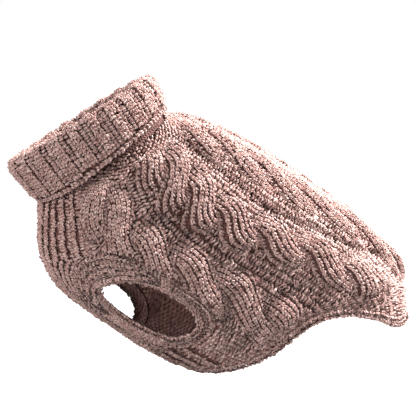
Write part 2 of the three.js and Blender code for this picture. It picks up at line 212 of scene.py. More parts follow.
# Fineness of the cloth's grids, and the knitting that shows between and behind the stitches
INSIDE_ROW = 2.2
INSIDE_WALE = 2.6
SHELL_DEPTH = 0.9  # how far the cloth's outer face lies under the stitches' middle line
BACK_ROWS = 100
BACK_COLUMNS = 180
CHEST_ROWS = 90
COLUMNS_PER_RIB = 10
COLUMNS_PER_REPEAT = 12
STAND_ROWS = (7, 4)  # rows of the face that shows, and of the hidden one
FOLD_ROWS = (7, 4)
FLAP_ROWS = (11, 5)
LEG_GRID = (24, 160)  # rows and columns of a leg band
HEM_GRID = (8, 360)

# Colours, painted shade and fine relief of the yarn
DEEP_YARN_SHADE = 0.06  # painted shade where the yarn dives between the stitches, as a share of its colour on top
HEATHER = 2.1  # strength of the mixed fibre colours
MIDDLE_TONE = 0.37  # their middle on the scale from dark to light, before clouds and tints
PURL_SHADE = 0.4  # painted shade between the purl bumps inside, as a share of their own colour
SPECKS = dict(scale=1300, detail=3, roughness=0.65)  # single fibres of other colours
CLOUDS = dict(scale=90, detail=2, roughness=0.5)  # slow changes of colour along the yarn
NAP = dict(scale=2600, detail=3, roughness=0.7)
CLOUD_SHARE = 0.35
TINT_SHARE = 0.22  # how much the colour changes from stitch to stitch
PLY_TURNS = 1.3  # turns of the plies in the length of one leg of a stitch
PLY_RELIEF = 0.35
PURL_RELIEF = 1.6
PLY_SHADE = 0.62  # painted shade between the yarn's plies, as a share of its colour on them

# Where stitches are: shares of a panel's length, and millimetres
STITCHED_FROM = 0.04
STITCHED_TO = 0.985
LEAST_STRAND = 0.3  # height of a strand that has stitches
HIDDEN_BELOW = 0.2  # how far a strand's stitches may lie under the strand over it
BARE_BELOW = 0.9  # height of the cables up to which the ground shows
CABLE_TO_SEAM = 1.6
GROUND_TO_SEAM = 1.0

# Painted shade and width of the stitches
COLUMN_SHARE = 0.88  # width of a knit stitch, as a share of its column: the rest shows the cloth beneath, darkened with painted shade, as a dark line
SIDE_SHADE = 0.34  # painted shade on the stitches at a strand's sides, in wales
GROUND_SHADE = 0.08  # painted shade on the purl stitches between the cables
FOLD_SHADE = 0.13  # painted shade added for each millimetre of a fold's depth

# Hand knitting is uneven: spread of each stitch's turn in radians, size as a share, and place
UNEVEN_TURN = 0.18
UNEVEN_SIZE = 0.12
UNEVEN_PLACE = 0.24
WANDER_TURN = 0.09
WANDER_WAVES = (((0.23, 0.34, 0.19), 0), ((-0.31, 0.17, 0.36), 2))  # radians a millimetre, and start

# Loose fibres
FIBRE_LENGTH = 3.4
FIBRE_WIDTH = 0.17
FIBRE_LEAN = 0.7  # spread of their direction to both sides, as a share of their way out
FIBRES_PER_STITCH = 5


# Helpers for numbers and vectors

def through(rows, key, column, at):
    """Reads a table's column at values of its key, along a smooth curve through the rows."""
    keys = np.array([row[key] for row in rows], float)
    values = np.array([row[column] for row in rows], float)
    last = len(rows) - 1
    before = np.maximum(np.arange(last + 1) - 1, 0)
    after = np.minimum(np.arange(last + 1) + 1, last)
    slopes = (values[after] - values[before]) / (keys[after] - keys[before])
    at = np.asarray(at, float)
    i = np.clip(np.searchsorted(keys, at, side="left") - 1, 0, last - 1)
    span = keys[i + 1] - keys[i]
    t = (at - keys[i]) / span
    rest = 1 - t
    return (
        rest * rest * (1 + 2 * t) * values[i]
        + t * t * (1 + 2 * rest) * values[i + 1]
        + t * rest * span * (rest * slopes[i] - t * slopes[i + 1])
    )


def smooth_step(start, stop, value):
    t = np.clip((value - start) / (stop - start), 0, 1)
    return t * t * (3 - 2 * t)


def raised_between(value, start, full, falling, stop):
    """0 up to the start, 1 from full to falling, and 0 again from the stop on."""
    return smooth_step(start, full, value) * (1 - smooth_step(falling, stop, value))


def signed_power(value, exponent):
    return np.sign(value) * np.abs(value) ** exponent


def unit(vectors):
    return vectors / np.maximum(np.linalg.norm(vectors, axis=-1, keepdims=True), 1e-9)


def paired(first, second):
    """Both coordinates of some places, as arrays of one shape."""
    return np.broadcast_arrays(np.asarray(first, float), np.asarray(second, float))


def halfway(first, second, turn):
    """From the first number at a turn of 1 to the second at -1."""
    return (first + second + (first - second) * turn) / 2


def column(values):
    """One number for each point, ready to scale its vector."""
    return np.asarray(values, float)[..., None]


# The torso's form

def torso_section(share):
    names = ("back_x", "back_z", "belly_x", "belly_z", "half_width", "wide_drop")
    return (through(TORSO, "share", name, share) for name in names)


def torso_point(share, angle):
    """Inner face of the torso: angle 0 is the back's centre line, 90 the left side, 180 the belly."""
    back_x, back_z, belly_x, belly_z, half_width, wide_drop = torso_section(share)
    turn = np.radians(angle)
    across = signed_power(np.sin(turn), 2 / TORSO_ROUNDNESS)
    up = signed_power(np.cos(turn), 2 / TORSO_ROUNDNESS) - wide_drop * across * across
    place = [halfway(back_x, belly_x, up), -half_width * across, halfway(back_z, belly_z, up)]
    return np.stack(place, axis=-1)


def panel_end(angle):
    return through(PANEL_END, "angle", "share", np.abs((np.asarray(angle) + 180) % 360 - 180))


def panel_point(share, angle):
    """Inner face of the panels: share 0 is the neck seam, share 1 the seam of the hem band."""
    return torso_point(share * panel_end(angle), angle)


def panel_frame(share, angle):
    """Inner points with their unit directions along the piece and out of the cloth."""
    share, angle = paired(share, angle)
    step = 0.004
    turn = 0.5
    point = panel_point(share, angle)
    along = unit(panel_point(share + step, angle) - panel_point(np.maximum(share - step, 0), angle))
    around = panel_point(share, angle + turn) - panel_point(share, angle - turn)
    return point, along, unit(np.cross(around, along))


def moved(place, along_by, out_by):
    point, along, out = place
    return point + along * column(along_by) + out * column(out_by)


def mm_per_degree(share):
    back_x, back_z, belly_x, belly_z, half_width, _ = torso_section(np.asarray(share) * panel_end(90))
    half_depth = np.hypot(back_x - belly_x, back_z - belly_z) / 2
    return np.radians((half_depth + half_width) / 2)


def lane_across(cable, share, angle):
    """Distance from the middle of a cable's lane, away from the back's centre line."""
    side = np.abs(angle) if cable["mirrored"] else angle
    return (side - through(cable["path"], "share", "angle", share)) * mm_per_degree(share)


def strand_swing(cable, progress):
    """How far a strand's middle is from the lane's middle; progress runs from -1 to 1 along it."""
    room = cable["half_width"] * (1 - STRAND_SHARE)
    return room * np.sin(np.pi / 2 * np.clip(progress / 0.75, -1, 1))


def strand_height(cable, strand, share, angle):
    """Height of one strand of a rope cable, which dives under its neighbours at both ends."""
    start, end = CABLE_START, cable["end"]
    reach = raised_between(share, start - 0.02, start + 0.03, end - 0.03, end + 0.02)
    progress = share * cable["crossings"] - strand - 0.5
    middle = strand_swing(cable, progress)
    away = (lane_across(cable, share, angle) - middle) / (cable["half_width"] * STRAND_SHARE)
    dive = 1 - 0.75 * smooth_step(0.35, 1, np.abs(progress))
    round_top = np.clip(1 - away * away, 0, 1) ** STRAND_ROUNDNESS
    return cable["height"] * dive * round_top * reach * (np.abs(progress) <= 1)


def cable_height(cable, share, angle):
    first = np.floor(np.asarray(share) * cable["crossings"])
    return np.max([strand_height(cable, first + k, share, angle) for k in (-1, 0, 1)], axis=0)


def cables_height(share, angle):
    return np.max([cable_height(cable, share, angle) for cable in CABLES], axis=0)


def fold_depth(fold, share, angle):
    wide = mm_per_degree(share)
    x = (share - fold["from_share"]) * PANEL_LENGTH
    y = (np.abs(angle) - fold["from_angle"]) * wide
    run_x = (fold["to_share"] - fold["from_share"]) * PANEL_LENGTH
    run_y = (fold["to_angle"] - fold["from_angle"]) * wide
    progress = np.clip((x * run_x + y * run_y) / (run_x * run_x + run_y * run_y), 0, 1)
    away = np.hypot(x - progress * run_x, y - progress * run_y)
    return fold["depth"] * np.exp(-((away / fold["width"]) ** 2) * 2)


def folds_depth(share, angle):
    return sum(fold_depth(fold, share, angle) for fold in FOLDS)


def ground_height(share, angle):
    """What carries the cables: the plain wall, thicker away from the seams, less the folds."""
    ground = GROUND_RELIEF * raised_between(share, 0.05, 0.1, 0.95, 1)
    return WALL + ground - folds_depth(share, angle) * smooth_step(0.05, 0.1, share)


def outline_reach(outline, side, share):
    """How far a leg opening or band reaches from the seam angle at a share."""
    offset = np.asarray(share) - LEG_CENTRE_SHARE
    x = np.abs(offset) / np.where(offset < 0, outline["front"], outline["rear"])
    inside = np.clip(1 - np.minimum(x, 1) ** LEG_OUTLINE_ROUNDNESS, 0, 1)
    return outline[side] * inside ** (1 / LEG_OUTLINE_ROUNDNESS)


def back_limit(share):
    return SEAM_ANGLE - outline_reach(LEG_BAND, "up", share)


def seam_room(share, angle):
    """Distance from a place on the back panel to the seam at its side."""
    return (back_limit(share) - np.abs(angle)) * mm_per_degree(share)


def back_height(share, angle):
    """Outer face of the back panel over its inner face, falling to the plain wall at the seams."""
    raised = smooth_step(0, PLAIN_SEAM_WIDTH, seam_room(share, angle))
    relief = cables_height(share, angle) + ground_height(share, angle) - WALL
    return WALL + np.maximum(relief, -DEEPEST_FOLD) * raised


def chest_half_angle(share):
    return 180 - SEAM_ANGLE - SEAM_GAP / 2 - outline_reach(LEG_BAND, "down", share)


def chest_pitch(share):
    return 2 * chest_half_angle(share) * mm_per_degree(share) / CHEST_RIBS


def chest_height(share, angle):
    across = (np.asarray(angle) % 360 - 180) / chest_half_angle(share)
    relief = CHEST_RIB_RELIEF * np.minimum(chest_pitch(share) / CHEST_RIB_PITCH, 1)
    relief = relief * raised_between(share, 0.03, 0.08, 0.96, 1)
    return WALL + relief * (1 - np.cos((across + 1) * CHEST_RIBS * np.pi)) / 2


def panel_shares(count):
    """Shares of a shell's rows: even steps, with closer rows at the blunt ends of the leg bands."""
    away = np.array([0, 0.004, 0.012, 0.03, 0.06, 0.1, 0.16])
    front = LEG_CENTRE_SHARE - LEG_BAND["front"] * (1 - away)
    rear = LEG_CENTRE_SHARE + LEG_BAND["rear"] * (1 - away)
    return np.unique(np.concatenate([np.linspace(0, 1, count + 1), front, rear]))


def lengths_along(line):
    """Real length from a line's first point to each of its points."""
    return np.concatenate([[0], np.cumsum(np.linalg.norm(np.diff(line, axis=0), axis=1))])


def equal_places(line, coordinate, count, shift=0.0):
    """The coordinate at a count of equally spaced places round a closed line."""
    lengths = lengths_along(line)
    return np.interp((np.arange(count) + shift) / count * lengths[-1], lengths, coordinate)


def even_steps(surface, first, second, step, start=0.0):
    """Places at equal real steps along a line on a surface, given as fine steps of its coordinates."""
    first, second = paired(first, second)
    lengths = lengths_along(surface(first, second))
    count = max(int((lengths[-1] - start) / step), 1)
    at = start + np.arange(count + 1) * step
    at = at[at <= lengths[-1]]
    return np.interp(at, lengths, first), np.interp(at, lengths, second)


def on_panel(height, lift=0.0):
    """The surface at a height over the panels' inner face."""
    def surface(share, angle):
        return moved(panel_frame(share, angle), 0, height(share, angle) + lift)
    return surface


# The collar's form

def collar_ring(row, angle):
    turn = np.radians(angle)
    across = signed_power(np.sin(turn), 2 / COLLAR_ROUNDNESS)
    up = signed_power(np.cos(turn), 2 / COLLAR_ROUNDNESS)
    rise = row["near_rise"] * across + row["both_rise"] * across * across
    x = halfway(row["back_x"], row["front_x"], up)
    z = halfway(row["back_z"], row["front_z"], up) + rise
    return np.stack([x, -row["half_width"] * across, z], axis=-1)


def collar_angle(repeat):
    """Angle of a place on the collar, counted in repeats of its ribbing from the back."""
    fine = np.linspace(0, 360, 721)
    lengths = lengths_along(collar_ring(COLLAR_EDGE, fine))
    turns = np.floor(np.asarray(repeat, float) / COLLAR_REPEATS)
    share = np.asarray(repeat, float) / COLLAR_REPEATS - turns
    return np.interp(share * lengths[-1], lengths, fine) + 360 * turns


def out_from(row, angle, up):
    around = collar_ring(row, angle + 1) - collar_ring(row, angle - 1)
    return -unit(np.cross(around, up))


def rib_height(repeat):
    """Two raised knit columns and two low purl columns in each repeat."""
    phase = np.asarray(repeat) % 1
    return raised_between(phase, 0, 0.08, 0.42, 0.5)


def collar_tube(part, repeat, depth):
    """Points and outward directions of the collar's cloth, at a depth under the face that shows.

    Part 0 is the neck seam; from there the cloth goes up the stand, over the fold and down the flap.
    """
    part, repeat = paired(part, repeat)
    angle = collar_angle(repeat)
    seam = panel_frame(np.zeros_like(angle), angle)
    fold = collar_ring(COLLAR_FOLD, angle)
    edge = collar_ring(COLLAR_EDGE, angle)
    stand_up = unit(fold - seam[0])
    flap_up = unit(fold - edge)
    stand_out = out_from(COLLAR_FOLD, angle, stand_up)
    flap_out = out_from(COLLAR_EDGE, angle, flap_up)
    up = unit(stand_up + flap_up)
    out = unit(stand_out + flap_out)
    bend = np.clip((part - STAND_PART) / (FOLD_PART - STAND_PART), 0, 1) * np.pi
    radius = FOLD_RADIUS + WALL - depth
    arc = fold - out * column(radius * np.cos(bend)) + up * column(radius * np.sin(bend))
    foot = moved(seam, -SEAM_GAP, depth)
    lower = edge - flap_out * depth
    stand = np.clip(part / STAND_PART, 0, 1)
    flap = np.clip((part - FOLD_PART) / (1 - FOLD_PART), 0, 1)
    point = np.where(column(part < STAND_PART), foot + (arc - foot) * column(stand), arc)
    point = np.where(column(part > FOLD_PART), arc + (lower - arc) * column(flap), point)
    face = unit(-out * column(np.cos(bend)) + up * column(np.sin(bend)))
    face = np.where(column(part > FOLD_PART), flap_out, face)
    return point, np.where(column(part < STAND_PART), -stand_out, face)


def collar_surface(lift=0.0):
    """The ribbed face of the collar that shows, at a height over its middle."""
    def surface(part, repeat):
        point, face = collar_tube(part, repeat, 0.0)
        ribbed = raised_between(part, 0.02, 0.5, 0.955, 0.975)
        return point + face * column(rib_height(repeat) * COLLAR_RIB_RELIEF * ribbed + lift)
    return surface


# The leg bands and the hem band

def leg_place(turn, reach):
    """Share and angle of a place on a leg band: reach 0 is the opening, 1 the outer seam."""
    x = signed_power(np.cos(turn), 2 / LEG_OUTLINE_ROUNDNESS)
    y = signed_power(np.sin(turn), 2 / LEG_OUTLINE_ROUNDNESS)
    gap_share = 1.5 * SEAM_GAP / PANEL_LENGTH

    def mix(first, second, chosen, gap):
        opening = np.where(chosen, LEG_OPENING[first], LEG_OPENING[second])
        band = np.where(chosen, LEG_BAND[first], LEG_BAND[second]) - gap
        return opening + (band - opening) * reach

    share = LEG_CENTRE_SHARE + x * mix("front", "rear", x < 0, gap_share)
    angle = SEAM_ANGLE + y * mix("up", "down", y < 0, 1.5 * SEAM_GAP)
    return share, angle


def leg_band_width(turn):
    inner_share, inner_angle = leg_place(turn, 0.0)
    outer_share, outer_angle = leg_place(turn, 1.0)
    return np.hypot(
        (outer_share - inner_share) * PANEL_LENGTH,
        (outer_angle - inner_angle) * mm_per_degree((inner_share + outer_share) / 2),
    )


def leg_surface(side, lift=0.0):
    def surface(reach, turn):
        reach, turn = paired(reach, turn)
        share, angle = leg_place(turn, reach)
        full = 0.3 + 0.7 * np.minimum(leg_band_width(turn) / LEG_BAND_FULL_WIDTH, 1)
        ridge = (1 - np.cos(reach * LEG_BAND_RIDGES * 2 * np.pi)) / 2
        height = WALL + LEG_BAND_RELIEF * full * ridge
        return moved(panel_frame(share, side * angle), 0, height + lift)
    return surface


def hem_surface(lift=0.0):
    def surface(down, angle):
        down, angle = paired(down, angle)
        ridge = (1 - np.cos(down / HEM_DEPTH * HEM_RIDGES * 2 * np.pi)) / 2
        height = WALL + HEM_RELIEF * ridge
        return moved(panel_frame(np.ones_like(angle), angle), SEAM_GAP + down, height + lift)
    return surface


# Meshes from arrays

def mesh_piece(name, points, quads, triangles, material, corner_marks=None, marks=None, inside=None):
    """A piece from points in millimetres, with its faces, material and marks for the material.

    Inside is true for the faces that the wearer would touch, which show as plain purl.
    """
    mesh = bpy.data.meshes.new(name)
    corners = np.concatenate([quads.ravel(), triangles.ravel()]).astype(np.int32)
    totals = np.concatenate([np.full(len(quads), 4), np.full(len(triangles), 3)]).astype(np.int32)
    starts = np.concatenate([[0], np.cumsum(totals)[:-1]]).astype(np.int32)
    mesh.vertices.add(len(points))
    mesh.vertices.foreach_set("co", (points * MM).astype(np.float32).ravel())
    mesh.loops.add(len(corners))
    mesh.loops.foreach_set("vertex_index", corners)
    mesh.polygons.add(len(totals))
    mesh.polygons.foreach_set("loop_start", starts)
    mesh.polygons.foreach_set("loop_total", totals)
    mesh.polygons.foreach_set("use_smooth", np.ones(len(totals), bool))
    mesh.update(calc_edges=True)
    if corner_marks is not None:
        layer = mesh.uv_layers.new(name="yarn")
        layer.data.foreach_set("uv", corner_marks.astype(np.float32).ravel())
    for mark, values in (marks or {}).items():
        layer = mesh.attributes.new(mark, "FLOAT", "POINT")
        layer.data.foreach_set("value", values.astype(np.float32))
    mesh.materials.append(material)
    if inside is not None:
        mesh.materials.append(inside_yarn)
        mesh.polygons.foreach_set("material_index", inside.astype(np.int32))
    mesh.validate()
    piece = bpy.data.objects.new(name, mesh)
    bpy.context.scene.collection.objects.link(piece)
    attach(piece, "root")
    return piece


def grid_quads(rows, columns, first=0, closed=False):
    """Faces of a grid of points, row by row."""
    row = np.arange(rows - 1)[:, None]
    across = np.arange(columns if closed else columns - 1)[None, :]
    after = (across + 1) % columns
    here = first + row * columns + across
    right = first + row * columns + after
    return np.stack([here, right, right + columns, here + columns], axis=-1).reshape(-1, 4)


def knit_marks(grid):
    """Place of each point of a grid in the knitting, in rows and wales counted along its lines."""
    down = np.linalg.norm(np.diff(grid, axis=0), axis=2).mean(axis=1)
    over = np.linalg.norm(np.diff(grid, axis=1), axis=2).mean(axis=0)
    rows = np.concatenate([[0], np.cumsum(down)])[:, None] / INSIDE_ROW
    wales = np.concatenate([[0], np.cumsum(over)])[None, :] / INSIDE_WALE
    return np.stack(np.broadcast_arrays(rows, wales), axis=-1).reshape(-1, 2)


def facing_out(points, quads):
    """Turns all faces of a closed mesh if they face inwards."""
    a, b, c, d = (points[quads[:, k]] for k in range(4))
    volume = np.sum(np.cross(b - a, c - a) * a) + np.sum(np.cross(c - a, d - a) * a)
    return quads if volume > 0 else quads[:, ::-1]


def shell_piece(name, points, quads, marks, inside):
    quads = facing_out(points, quads)
    none = np.zeros((0, 3), int)
    # The outer faces take the yarn darkened with painted shade
    return mesh_piece(name, points, quads, none, shaded_ground_yarn, marks[quads.ravel()], inside=inside)


def panel_shell(name, share, angle, height):
    """A closed sheet from the panels' inner face out to a height, joined round its four edges."""
    place = panel_frame(share, angle)
    outer, inner = moved(place, 0, height), place[0]
    rows, columns = outer.shape[:2]
    count = rows * columns
    points = np.concatenate([outer.reshape(-1, 3), inner.reshape(-1, 3)])
    rim = np.concatenate([
        np.arange(columns),
        np.arange(1, rows) * columns + columns - 1,
        (rows - 1) * columns + np.arange(columns - 2, -1, -1),
        np.arange(rows - 2, 0, -1) * columns,
    ])
    after = np.roll(rim, -1)
    edge = np.stack([after, rim, rim + count, after + count], axis=-1)
    front = grid_quads(rows, columns)
    back = grid_quads(rows, columns, count)[:, ::-1]
    quads = np.concatenate([front, back, edge])
    inside = np.repeat([False, True, False], [len(front), len(back), len(edge)])
    marks = np.tile(knit_marks(inner), (2, 1))
    return shell_piece(name, points, quads, marks, inside)


def tube_shell(name, shown, hidden):
    """A closed sheet whose section runs through the rings that show and back through the hidden ones."""
    rings = np.concatenate([shown, hidden])
    rows, columns = rings.shape[:2]
    points = rings.reshape(-1, 3)
    quads = grid_quads(rows, columns, closed=True)
    last = (rows - 1) * columns + np.arange(columns)
    first = np.arange(columns)
    closing = np.stack([last, np.roll(last, -1), np.roll(first, -1), first], axis=-1)
    quads = np.concatenate([quads, closing])
    inside = np.arange(len(quads)) >= (len(shown) - 1) * columns
    return shell_piece(name, points, quads, knit_marks(rings), inside)


# Stitches

def yarn_template(path, mirror):
    """Points and faces of one bit of yarn along a path, in wales and rows."""
    rows = path[1:-1]
    outwards = np.array([0, 0, 1])
    centres = np.array([[row["across"] * mirror, row["along"], row["lift"]] for row in path])
    heading = unit(np.gradient(centres, axis=0) * [1, 1, 0])
    turns = np.arange(YARN_SIDES) / YARN_SIDES * 2 * np.pi + np.pi / 2
    points = []
    for i, row in enumerate(rows, start=1):
        beside = np.array([heading[i, 1], -heading[i, 0], 0])
        radius = YARN_RADIUS * row["thick"]
        for turn in turns:
            points.append(centres[i] + radius * (np.cos(turn) * beside + np.sin(turn) * outwards))
    points += [centres[0], centres[-1]]
    points = np.array(points)
    quads = grid_quads(len(rows), YARN_SIDES, closed=True)
    start, stop = len(points) - 2, len(points) - 1
    ring = np.arange(YARN_SIDES)
    last = (len(rows) - 1) * YARN_SIDES
    triangles = np.concatenate([
        np.stack([np.full(YARN_SIDES, start), np.roll(ring, -1), ring], axis=-1),
        np.stack([np.full(YARN_SIDES, stop), last + ring, last + np.roll(ring, -1)], axis=-1),
    ])
    length = np.linspace(0, 1, len(path))
    around = np.arange(YARN_SIDES + 1) / YARN_SIDES
    quad_marks = [
        [(length[i + down], around[k + over]) for down, over in ((0, 0), (0, 1), (1, 1), (1, 0))]
        for i in range(1, len(rows))
        for k in range(YARN_SIDES)
    ]
    end_marks = [
        [(tip, (k + 0.5) / YARN_SIDES), (ring_at, around[k + ahead]), (ring_at, around[k + 1 - ahead])]
        for tip, ring_at, ahead in ((0, length[1], 1), (1, length[-2], 0))
        for k in range(YARN_SIDES)
    ]
    parts = [quads, triangles, np.array(quad_marks), np.array(end_marks)]
    if mirror < 0:
        parts = [part[:, ::-1] for part in parts]
    return points, *parts


TEMPLATES = {
    "knit": [yarn_template(KNIT_LEG, 1), yarn_template(KNIT_LEG, -1)],
    "purl": [yarn_template(PURL_BAR, 1)],
}


# Ways up of a stitch: along a surface's first coordinate, or round it along the second
ALONG = (1.0, 0.0)
AROUND = (0.0, 1.0)


class Stitches:
    """Collects places for stitches, and turns them into one joined piece."""

    def __init__(self):
        self.sets = []

    def add(self, kind, surface, first, second, heading, width, height, lift=0.0, face=1.0, deep=0.0):
        """Places stitches on a surface at two coordinates; heading is their way up in both.

        Lift raises them off the surface, face is -1 where its normals point in, and the painted shade
        darkens a stitch's colour by how far it would lie in the shade of its neighbours.
        """
        first, second = (values.ravel() for values in paired(first, second))
        if not len(first):
            return
        point, along, around = tangents(surface, first, second)
        out = unit(np.cross(around, along)) * face
        go_first = np.broadcast_to(heading[0], first.shape)
        go_second = np.broadcast_to(heading[1], first.shape)
        up = unit(along * column(go_first) + around * column(go_second))
        turn = chance.normal(0, UNEVEN_TURN, len(first)) + wander(point)
        side = unit(np.cross(up, out))
        up = unit(up * column(np.cos(turn)) + side * column(np.sin(turn)))
        side = unit(np.cross(up, out))
        width = np.broadcast_to(width, first.shape) * chance.normal(1, UNEVEN_SIZE, len(first))
        height = np.broadcast_to(height, first.shape) * chance.normal(1, UNEVEN_SIZE, len(first))
        rise = lift + chance.normal(0, UNEVEN_PLACE, len(first))
        slip = chance.normal(0, UNEVEN_PLACE, (len(first), 2))
        point = point + out * column(rise) + side * column(slip[:, 0]) + up * column(slip[:, 1])
        tint = chance.random(len(first))
        deep = np.broadcast_to(deep, first.shape)
        self.sets.append((kind, point, side, up, out, width, height, tint, deep))

    def piece(self, name, material):
        points, quads, triangles, quad_marks, triangle_marks, tints, lifts_and_painted_shade = ([] for _ in range(7))
        first = 0
        for kind, point, side, up, out, width, height, tint, deep in self.sets:
            for shape, quad, triangle, quad_mark, triangle_mark in TEMPLATES[kind]:
                count = len(point)
                across = shape[None, :, 0] * width[:, None]
                along = shape[None, :, 1] * height[:, None]
                above = shape[None, :, 2] * width[:, None]
                placed = (
                    point[:, None, :]
                    + side[:, None, :] * across[..., None]
                    + up[:, None, :] * along[..., None]
                    + out[:, None, :] * above[..., None]
                )
                base = first + np.arange(count)[:, None, None] * len(shape)
                points.append(placed.reshape(-1, 3))
                quads.append((quad[None] + base).reshape(-1, 4))
                triangles.append((triangle[None] + base).reshape(-1, 3))
                quad_marks.append(np.tile(quad_mark.reshape(-1, 2), (count, 1)))
                triangle_marks.append(np.tile(triangle_mark.reshape(-1, 2), (count, 1)))
                tints.append(np.repeat(tint, len(shape)))
                # The lift mark holds each point's lift in the yarn less the stitch's painted shade; the
                # material darkens low values as painted shade
                lifts_and_painted_shade.append((shape[None, :, 2] - deep[:, None]).ravel())
                first += count * len(shape)
        return mesh_piece(
            name,
            np.concatenate(points),
            np.concatenate(quads),
            np.concatenate(triangles),
            material,
            np.concatenate(quad_marks + triangle_marks),
            {"tint": np.concatenate(tints), "lift": np.concatenate(lifts_and_painted_shade)},
        )


def loose_fibres(name, groups, share, material):
    """Short curved fibres that stand off the yarn, as thin strips on a share of the stitches."""
    points, side, up, out, width = (
        np.concatenate([found[k] for group in groups for found in group.sets]) for k in (1, 2, 3, 4, 5)
    )
    chosen = chance.integers(0, len(points), int(share * len(points)))
    root = points[chosen] + side[chosen] * column(chance.uniform(-0.5, 0.5, len(chosen)) * width[chosen])
    root = root + up[chosen] * column(chance.uniform(-0.5, 0.5, len(chosen)) * ROW)
    root = root + out[chosen] * column(0.2 * width[chosen])
    lean = chance.normal(0, FIBRE_LEAN, (len(chosen), 2))
    way = unit(out[chosen] + side[chosen] * column(lean[:, 0]) + up[chosen] * column(lean[:, 1]))
    curl = unit(chance.normal(0, 1, (len(chosen), 3)))
    beside = unit(np.cross(way, curl))
    length = FIBRE_LENGTH * chance.uniform(0.3, 1, len(chosen)) ** 1.5
    # A fibre starts straight and curls to one side towards its tip
    middle = root + way * column(length * 0.5) + curl * column(length * 0.1)
    tip = root + way * column(length * 0.9) + curl * column(length * 0.5)
    half = beside * FIBRE_WIDTH / 2
    strips = [root - half, root + half, middle - half, middle + half, tip]
    placed = np.stack(strips, axis=1).reshape(-1, 3)
    first = np.arange(len(chosen))[:, None, None] * len(strips)
    quads = (np.array([[0, 1, 3, 2]])[None] + first).reshape(-1, 4)
    triangles = (np.array([[2, 3, 4]])[None] + first).reshape(-1, 3)
    return mesh_piece(name, placed, quads, triangles, material)


def wander(point):
    """Smooth turn of the knitting from place to place, in radians."""
    first, second = (np.sin(point @ np.array(wave) + start) for wave, start in WANDER_WAVES)
    return WANDER_TURN * (first + second)


def tangents(surface, first, second):
    """Points of a surface with its directions along both coordinates."""
    step = 0.003
    wide = 0.02
    along = unit(surface(first + step, second) - surface(first - step, second))
    around = unit(surface(first, second + wide) - surface(first, second - wide))
    return surface(first, second), along, around


# Materials

def linear(red, green, blue):
    """A colour given in sRGB, 0 to 255, as Blender wants it."""
    def channel(value):
        value = value / 255
        return value / 12.92 if value <= 0.04045 else ((value + 0.055) / 1.055) ** 2.4
    return (channel(red), channel(green), channel(blue), 1.0)


